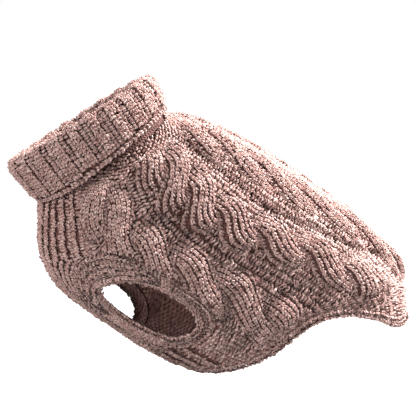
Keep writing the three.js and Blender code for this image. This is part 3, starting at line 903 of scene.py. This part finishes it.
def yarn_material(name, dark, middle, light, bump_depth, form):
    """Heathered, fuzzy yarn with mixed fibre colours, given in sRGB, and a fine nap.

    Its form is plied, where each bit of yarn is modelled, knitted, for the cloth between and
    behind the stitches, or loose, for fibres. Plied and knitted yarn are darkened with painted
    shade: where the yarn dives, between its plies, and between the purl bumps.
    """
    material = bpy.data.materials.new(name)
    material.use_nodes = True
    nodes, links = material.node_tree.nodes, material.node_tree.links
    shader = nodes["Principled BSDF"]
    shader.inputs["Roughness"].default_value = 0.95
    shader.inputs["Specular IOR Level"].default_value = 0.15
    shader.inputs["Sheen Weight"].default_value = 0.35
    shader.inputs["Sheen Roughness"].default_value = 0.45
    shader.inputs["Sheen Tint"].default_value = linear(240, 214, 208)
    place = nodes.new("ShaderNodeTexCoord")

    def noise(scale, detail, roughness):
        node = nodes.new("ShaderNodeTexNoise")
        node.inputs["Scale"].default_value = scale
        node.inputs["Detail"].default_value = detail
        node.inputs["Roughness"].default_value = roughness
        links.new(place.outputs["Object"], node.inputs["Vector"])
        return node.outputs["Fac"]

    def calculate(operation, *values):
        node = nodes.new("ShaderNodeMath")
        node.operation = operation
        for socket, value in zip(node.inputs, values):
            if isinstance(value, (int, float)):
                socket.default_value = value
            else:
                links.new(value, socket)
        return node.outputs[0]

    def from_to(value, start, stop, low):
        """Low up to the start, 1 from the stop on, and even steps between."""
        node = nodes.new("ShaderNodeMapRange")
        node.inputs["From Min"].default_value = start
        node.inputs["From Max"].default_value = stop
        node.inputs["To Min"].default_value = low
        links.new(value, node.inputs["Value"])
        return node.outputs["Result"]

    def mark(name):
        node = nodes.new("ShaderNodeAttribute")
        node.attribute_name = name
        return node.outputs["Fac"]

    def knit_place():
        node = nodes.new("ShaderNodeUVMap")
        node.uv_map = "yarn"
        split = nodes.new("ShaderNodeSeparateXYZ")
        links.new(node.outputs["UV"], split.inputs[0])
        return split.outputs["X"], split.outputs["Y"]

    blend = calculate("MULTIPLY_ADD", noise(**SPECKS), HEATHER, MIDDLE_TONE - HEATHER / 2)
    blend = calculate("MULTIPLY_ADD", noise(**CLOUDS), CLOUD_SHARE, blend)
    height = noise(**NAP)
    shade = None
    if form == "plied":
        blend = calculate("MULTIPLY_ADD", mark("tint"), TINT_SHARE, blend)
        along, around = knit_place()
        turns = calculate("MULTIPLY_ADD", along, PLY_TURNS, around)
        twist = calculate("SINE", calculate("MULTIPLY", turns, 4 * math.pi))
        height = calculate("MULTIPLY_ADD", twist, PLY_RELIEF, height)
        # Painted shade: darker where the yarn dives low and where a stitch is marked as shaded
        lit = from_to(mark("lift"), -0.30, 0.22, DEEP_YARN_SHADE)
        # Painted shade between the plies
        shade = calculate("MULTIPLY", lit, from_to(twist, -1.0, 0.2, PLY_SHADE))
    if form == "knitted":
        row, wale = knit_place()
        bars = calculate("SINE", calculate("MULTIPLY", row, math.pi))
        staggered = calculate("SINE", calculate("MULTIPLY", wale, math.pi))
        bumps = calculate("MULTIPLY", bars, staggered)
        height = calculate("MULTIPLY_ADD", bumps, PURL_RELIEF, height)
        # Painted shade between the purl bumps
        shade = from_to(bumps, -0.9, 0.3, PURL_SHADE)
    ramp = nodes.new("ShaderNodeValToRGB")
    ramp.color_ramp.elements[0].position = 0.15
    ramp.color_ramp.elements[0].color = linear(*dark)
    ramp.color_ramp.elements[1].position = 0.95
    ramp.color_ramp.elements[1].color = linear(*light)
    middle_stop = ramp.color_ramp.elements.new(0.5)
    middle_stop.color = linear(*middle)
    links.new(blend, ramp.inputs["Fac"])
    colour = ramp.outputs["Color"]
    if shade is not None:
        shaded = nodes.new("ShaderNodeVectorMath")
        shaded.operation = "SCALE"
        links.new(colour, shaded.inputs[0])
        links.new(shade, shaded.inputs["Scale"])
        colour = shaded.outputs["Vector"]
    links.new(colour, shader.inputs["Base Color"])
    bump = nodes.new("ShaderNodeBump")
    bump.inputs["Strength"].default_value = 1.0
    bump.inputs["Distance"].default_value = bump_depth
    links.new(height, bump.inputs["Height"])
    links.new(bump.outputs["Normal"], shader.inputs["Normal"])
    return material


yarn = yarn_material(
    "mauve yarn", (104, 60, 54), (178, 131, 122), (242, 212, 204), 0.0007, "plied"
)
# Painted shade: a darker copy of the yarn for the cloth that shows between and behind the stitches
shaded_ground_yarn = yarn_material(
    "mauve yarn with painted shade", (50, 27, 24), (90, 56, 51), (136, 94, 87), 0.0004, "knitted"
)
inside_yarn = yarn_material(
    "mauve yarn inside", (96, 60, 54), (160, 116, 108), (216, 176, 167), 0.0005, "knitted"
)
# Painted highlight: the loose fibres are a lighter copy of the yarn, for the light they catch
fuzz_yarn = yarn_material(
    "loose fibres", (140, 104, 97), (190, 152, 144), (240, 211, 203), 0.0001, "loose"
)


# Shells: each piece's cloth, thin, on the solid's own form

def back_shell():
    share = panel_shares(BACK_ROWS)[:, None]
    across = np.linspace(-1, 1, BACK_COLUMNS + 1)[None, :]
    squeeze = smooth_step(0.6, 1, np.abs(across)) * outline_reach(LEG_BAND, "up", share)
    angle = across * (SEAM_ANGLE - SEAM_GAP / 2) - np.sign(across) * squeeze
    sunk = SHELL_DEPTH * smooth_step(0, 0.05, 1 - np.abs(across))
    return panel_shell("back_panel_cloth", share, angle, back_height(share, angle) - sunk)


def chest_shell():
    share = panel_shares(CHEST_ROWS)[:, None]
    across = np.linspace(-1, 1, CHEST_RIBS * COLUMNS_PER_RIB + 1)[None, :]
    angle = 180 + across * chest_half_angle(share)
    return panel_shell("chest_panel_cloth", share, angle, chest_height(share, angle) - SHELL_DEPTH)


def stretches(places, counts):
    """Even steps from each place to the next, with a count of steps for each stretch."""
    steps = [np.linspace(a, b, n, endpoint=False) for a, b, n in zip(places, places[1:], counts)]
    return np.concatenate(steps + [[places[-1]]])[:, None]


def collar_shell():
    repeat = np.linspace(0, COLLAR_REPEATS, COLLAR_REPEATS * COLUMNS_PER_REPEAT + 1)[None, :-1]
    part = stretches((0, STAND_PART, FOLD_PART, 1), (STAND_ROWS[0], FOLD_ROWS[0], FLAP_ROWS[0]))
    hidden = stretches((1, FOLD_PART, STAND_PART, 0), (FLAP_ROWS[1], FOLD_ROWS[1], STAND_ROWS[1]))
    shown_rings = collar_surface(-SHELL_DEPTH)(part, repeat)
    hidden_rings, _ = collar_tube(hidden, repeat, WALL)
    return tube_shell("turtleneck_collar_cloth", shown_rings, hidden_rings)


INNER_ROWS = np.array([[1.0], [0.5], [0.0]])  # places of a band's inner rows, back to its near edge


def leg_shell(side, name):
    reach = np.linspace(0, 1, LEG_GRID[0] + 1)[:, None]
    turn = np.linspace(0, 2 * np.pi, LEG_GRID[1] + 1)[None, :-1]
    outer = leg_surface(side, -SHELL_DEPTH)(reach, turn)
    share, angle = leg_place(turn, INNER_ROWS)
    inner = panel_point(share, side * angle)
    return tube_shell(name, outer, inner)


def hem_shell():
    down = np.linspace(0, HEM_DEPTH, HEM_GRID[0] + 1)[:, None]
    angle = np.linspace(-180, 180, HEM_GRID[1] + 1)[None, :-1]
    outer = hem_surface(-SHELL_DEPTH)(down, angle)
    inner = moved(panel_frame(np.ones_like(INNER_ROWS), angle), SEAM_GAP + INNER_ROWS * HEM_DEPTH, 0)
    return tube_shell("hem_band_cloth", outer, inner)


# Stitches of the back panel

def strand_stitches(stitches, cable, side):
    """V stitches along every strand of a cable; those that dive under another strand are left out."""
    strand_half = cable["half_width"] * STRAND_SHARE
    wales = round(2 * strand_half / WALE)
    width = 2 * strand_half / wales
    offsets = (np.arange(wales) - (wales - 1) / 2) * width
    fine = np.linspace(-1, 1, 81)
    for strand in range(-1, math.ceil(cable["crossings"]) + 1):

        def own(at_share, at_angle):
            raised = strand_height(cable, strand, at_share, at_angle)
            return ground_height(at_share, at_angle) + raised

        surface = on_panel(own)
        for offset in offsets:
            line_share = (strand + 0.5 + fine) / cable["crossings"]
            inside = (line_share > STITCHED_FROM) & (line_share < STITCHED_TO)
            if np.count_nonzero(inside) < 3:
                continue
            line_share = line_share[inside]
            across = strand_swing(cable, fine[inside]) + offset
            lane = through(cable["path"], "share", "angle", line_share)
            line_angle = side * (lane + across / mm_per_degree(line_share))
            share, angle = even_steps(surface, line_share, line_angle, ROW)
            over = strand_height(cable, strand, share, angle)
            top = cables_height(share, angle)
            shows = (over > LEAST_STRAND) & (over > top - HIDDEN_BELOW)
            shows &= seam_room(share, angle) > CABLE_TO_SEAM
            share, angle, over = share[shows], angle[shows], over[shows]
            slope = np.interp(share, line_share, np.gradient(line_angle, line_share))
            slope = slope * mm_per_degree(share) / along_length(angle)
            # Painted shade: stitches low on a strand's sides and in folds are darkened
            deep = SIDE_SHADE * (1 - np.minimum(over / (0.6 * cable["height"]), 1))
            deep = deep + FOLD_SHADE * folds_depth(share, angle)
            narrow = width * COLUMN_SHARE
            stitches.add("knit", surface, share, angle, (1.0, slope), narrow, ROW, deep=deep)


def along_length(angle):
    """Real length of the back panel at an angle from its centre line."""
    fine = np.linspace(0, 1, 60)
    angles = np.arange(0, 181, 10.0)
    lengths = [lengths_along(panel_point(fine, at))[-1] for at in angles]
    return np.interp(np.abs(angle), angles, lengths)


def ground_stitches(stitches, side):
    """Purl bumps between the cables, staggered from column to column."""
    surface = on_panel(back_height)
    fine = np.linspace(0.03, 0.995, 120)
    for i, at in enumerate(np.arange(0.5, SEAM_ANGLE / GROUND_COLUMN) * GROUND_COLUMN):
        stagger = (i % 2) * GROUND_ROW / 2
        share, angle = even_steps(surface, fine, side * at, GROUND_ROW, stagger)
        bare = (cables_height(share, angle) < BARE_BELOW) & (seam_room(share, angle) > GROUND_TO_SEAM)
        width = GROUND_COLUMN * mm_per_degree(share) * PURL_OVERLAP
        share, angle, width = share[bare], angle[bare], width[bare]
        # Painted shade on the purl ground between the cables, more in the folds
        deep = GROUND_SHADE + FOLD_SHADE * folds_depth(share, angle)
        stitches.add("purl", surface, share, angle, ALONG, width, GROUND_ROW, deep=deep)


back_groups = {}
for side, word in ((1, "left"), (-1, "right")):
    for cable in CABLES[1:]:
        group = back_groups.setdefault(f"cable_stitches_{word}", Stitches())
        strand_stitches(group, cable, side)
    ground_stitches(back_groups.setdefault(f"ground_stitches_{word}", Stitches()), side)
strand_stitches(back_groups.setdefault("centre_cable_stitches", Stitches()), CABLES[0], 1)


# Stitches of the chest panel, the bands and the collar

def chest_stitches():
    stitches = Stitches()
    surface = on_panel(chest_height)
    rows = np.arange(1, PANEL_LENGTH / ROW) * ROW / PANEL_LENGTH
    rows = rows[rows < STITCHED_TO]
    for i in range(2 * CHEST_RIBS + 1):
        place = i / CHEST_RIBS - 1
        angle = 180 + place * (chest_half_angle(rows) - CHEST_MARGIN)
        pitch = chest_pitch(rows)
        raised = i % 2 == 1
        kept = (pitch > PURL_PITCH) | raised
        if i % 4 == 3:
            kept &= pitch > ALL_RIBS_PITCH
        share, angle, pitch = rows[kept], angle[kept], pitch[kept]
        width = np.clip(pitch * 0.5, WALE * 0.85, WALE * 1.3) * (0.9 if raised else 1.0)
        kind = "knit" if raised else "purl"
        stitches.add(kind, surface, share, angle, ALONG, width, ROW, lift=0.0 if raised else -0.1)
    return stitches


def leg_stitches(side):
    stitches = Stitches()
    surface = leg_surface(side)
    fine = np.linspace(0, 2 * np.pi, 721)
    middle = surface(0.5, fine)
    steps = round(lengths_along(middle)[-1] / ROW)
    turns = equal_places(middle, fine, steps)
    for turn, width in zip(turns, leg_band_width(turns)):
        wales = max(round(width / WALE), 2)
        reach = (np.arange(wales) + 0.5) / wales
        turn = np.full(wales, turn)
        narrow = width / wales * COLUMN_SHARE
        # Painted shade in the grooves between the band's ridges
        deep = SIDE_SHADE * (1 + np.cos(reach * LEG_BAND_RIDGES * 2 * np.pi)) / 2
        stitches.add("knit", surface, reach, turn, AROUND, narrow, ROW, face=side, deep=deep)
    zero, turns = even_steps(surface, 0, fine, ROW)
    stitches.add("knit", surface, zero, turns, AROUND, WALE, ROW, lift=EDGE_LIFT, face=side)
    return stitches


def hem_stitches():
    stitches = Stitches()
    surface = hem_surface()
    fine = np.linspace(-180, 180, 721)
    edge = surface(HEM_DEPTH / 2, fine)
    length = lengths_along(edge)[-1]
    columns = 2 * round(length / WALE / 2)
    angles = equal_places(edge, fine, columns)
    width = length / columns
    for row in range(2):
        down = 1.2 + row * ROW
        stitches.add("knit", surface, down, angles[0::2], ALONG, width * 1.1, ROW, lift=0.1)
        stitches.add("purl", surface, down, angles[1::2], ALONG, width, ROW, lift=-0.3)
    between = equal_places(edge, fine, columns, 0.5)
    stitches.add("knit", surface, HEM_DEPTH - 0.9, between, AROUND, WALE, width * 0.95)
    return stitches


def collar_stitches():
    stitches = Stitches()
    surface = collar_surface()
    fine = np.linspace(0, 1, 201)
    for i, phase in enumerate(COLLAR_COLUMNS):
        knit = i < 2
        row = ROW if knit else PURL_ROW
        lift = 0.0 if knit else PURL_COLUMN_LIFT
        for repeat in np.arange(COLLAR_REPEATS) + phase:
            lengths = lengths_along(surface(fine, repeat))
            rows = int((lengths[-1] - 1.0 - BIND_OFF_DEPTH) / row)
            parts = np.interp(1.0 + np.arange(rows) * row, lengths, fine)
            beside = surface(parts, repeat + 0.125)
            width = 2 * np.linalg.norm(beside - surface(parts, repeat), axis=1)
            width = np.clip(width, 1.5, WALE * 1.1)
            kind = "knit" if knit else "purl"
            stitches.add(kind, surface, parts, repeat, ALONG, width, ROW, lift=lift)
    edge = np.arange(COLLAR_REPEATS * 4) / 4
    stitches.add("knit", surface, 0.985, edge, AROUND, WALE, WALE * 0.98, lift=0.3)
    return stitches


def seam_height(share, angle):
    return WALL - SEAM_SUNK + 0 * np.asarray(angle)


def seam_stitches():
    """Chains of stitches over the seams: the two sides, round both leg bands, and along the hem."""
    stitches = Stitches()
    surface = on_panel(seam_height)
    for side in (1, -1):
        fine = np.linspace(0.01, 0.99, 300)
        share, angle = even_steps(surface, fine, side * SEAM_ANGLE, ROW)
        free = outline_reach(LEG_BAND, "up", share) <= 0
        stitches.add("knit", surface, share[free], angle[free], ALONG, SEAM_WIDTH, ROW)
        share, angle = leg_place(np.linspace(0, 2 * np.pi, 1200), 1.0)
        share, angle = even_steps(surface, share, side * angle, ROW)
        step_share, step_angle = np.gradient(share), np.gradient(angle)
        for k in range(len(share)):
            heading = (step_share[k] * PANEL_LENGTH, step_angle[k] * mm_per_degree(share[k]))
            stitches.add("knit", surface, share[k], angle[k], heading, SEAM_WIDTH, ROW)
    fine = np.linspace(-180, 180, 1441)
    one, angle = even_steps(surface, 1, fine, ROW)
    stitches.add("knit", surface, one, angle, AROUND, SEAM_WIDTH, ROW)
    return stitches


chest_group = chest_stitches()
seam_group = seam_stitches()
leg_groups = [leg_stitches(1), leg_stitches(-1)]
hem_group = hem_stitches()
collar_group = collar_stitches()


def stitched(groups, fibres):
    """The pieces of yarn of one part of the sweater, and its loose fibres."""
    pieces = [group.piece(name, yarn) for name, group in groups.items()]
    return pieces + [loose_fibres(fibres, groups.values(), FIBRES_PER_STITCH, fuzz_yarn)]


back_pieces = stitched(back_groups, "back_fibres")
chest_pieces = stitched({"chest_stitches": chest_group}, "chest_fibres")
left_pieces = stitched({"leg_band_stitches_left": leg_groups[0]}, "left_band_fibres")
right_pieces = stitched({"leg_band_stitches_right": leg_groups[1]}, "right_band_fibres")
hem_pieces = stitched({"hem_stitches": hem_group}, "hem_fibres")
collar_pieces = stitched({"collar_stitches": collar_group}, "collar_fibres")
back_pieces.append(seam_group.piece("seam_stitches", yarn))

back_cloth = back_shell()
chest_cloth = chest_shell()
collar_cloth = collar_shell()
leg_cloths = [leg_shell(1, "front_leg_band_left_cloth"), leg_shell(-1, "front_leg_band_right_cloth")]
hem_cloth = hem_shell()

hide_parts("back_panel")
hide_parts("chest_panel")
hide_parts("turtleneck_collar")
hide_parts("front_leg_band_left")
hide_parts("front_leg_band_right")
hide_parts("hem_band")

for cloth, pieces in zip(leg_cloths, (left_pieces, right_pieces)):
    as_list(pieces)


# Studio

def seen_and_lit(nodes, links, seen, lit):
    """A strength that is one value where the camera looks at it and another as light on other things."""
    rays = nodes.new("ShaderNodeLightPath")
    strength = nodes.new("ShaderNodeMapRange")
    strength.inputs["To Min"].default_value = lit
    strength.inputs["To Max"].default_value = seen
    links.new(rays.outputs["Is Camera Ray"], strength.inputs["Value"])
    return strength.outputs["Result"]


def studio_floor():
    """A pale floor, which shows nearly as white as the surroundings, with a soft shadow on it."""
    mesh = bpy.data.meshes.new("floor")
    half = FLOOR_HALF_SIDE
    z = -FLOOR_BELOW_ORIGIN * MM
    corners = [(-half, -half, z), (half, -half, z), (half, half, z), (-half, half, z)]
    mesh.from_pydata(corners, [], [(0, 1, 2, 3)])
    material = bpy.data.materials.new("pale floor")
    material.use_nodes = True
    nodes, links = material.node_tree.nodes, material.node_tree.links
    shader = nodes["Principled BSDF"]
    shader.inputs["Base Color"].default_value = (FLOOR_GREY, FLOOR_GREY, FLOOR_GREY, 1)
    shader.inputs["Roughness"].default_value = 0.9
    shader.inputs["Emission Color"].default_value = (1, 1, 1, 1)
    links.new(seen_and_lit(nodes, links, FLOOR_SEEN, FLOOR_GLOW), shader.inputs["Emission Strength"])
    mesh.materials.append(material)
    floor = bpy.data.objects.new("floor", mesh)
    bpy.context.scene.collection.objects.link(floor)


def soft_light(name, place, target, size, power):
    """A round area light that shines from its place towards its target."""
    data = bpy.data.lights.new(name, "AREA")
    data.shape = "DISK"
    data.size = size
    data.energy = power
    light = bpy.data.objects.new(name, data)
    light.location = place
    light.rotation_euler = (Vector(target) - Vector(place)).to_track_quat("-Z", "Y").to_euler()
    bpy.context.scene.collection.objects.link(light)


def photo_camera():
    """The camera stands where the photograph was taken, and its middle ray meets the picture's middle."""
    azimuth = math.radians(CAMERA_AZIMUTH)
    elevation = math.radians(CAMERA_ELEVATION)
    ahead = Vector((
        -math.sin(azimuth) * math.cos(elevation),
        math.cos(azimuth) * math.cos(elevation),
        -math.sin(elevation),
    ))
    right = Vector((math.cos(azimuth), math.sin(azimuth), 0))
    up = right.cross(ahead)
    middle = IMAGE_SIDE / 2
    target = right * (middle - ORIGIN_PIXEL[0]) * MM_PER_PIXEL
    target += up * (ORIGIN_PIXEL[1] - middle) * MM_PER_PIXEL
    data = bpy.data.cameras.new("camera")
    data.lens_unit = "FOV"
    data.angle = 2 * math.atan(middle * MM_PER_PIXEL / CAMERA_DISTANCE)
    data.clip_start = 0.01
    camera = bpy.data.objects.new("camera", data)
    camera.location = (target - ahead * CAMERA_DISTANCE) * MM
    camera.rotation_euler = ahead.to_track_quat("-Z", "Y").to_euler()
    bpy.context.scene.collection.objects.link(camera)
    bpy.context.scene.camera = camera


def studio_world():
    """Even white surroundings, which light the sweater more softly than they show."""
    world = bpy.data.worlds.new("studio")
    world.use_nodes = True
    nodes, links = world.node_tree.nodes, world.node_tree.links
    links.new(seen_and_lit(nodes, links, 1.0, AMBIENT_LIGHT), nodes["Background"].inputs["Strength"])
    nodes["Background"].inputs["Color"].default_value = (1, 1, 1, 1)
    bpy.context.scene.world = world


studio_floor()
soft_light("key", **KEY_LIGHT)
soft_light("fill", **FILL_LIGHT)
studio_world()
bpy.context.scene.view_settings.view_transform = "Standard"
photo_camera()
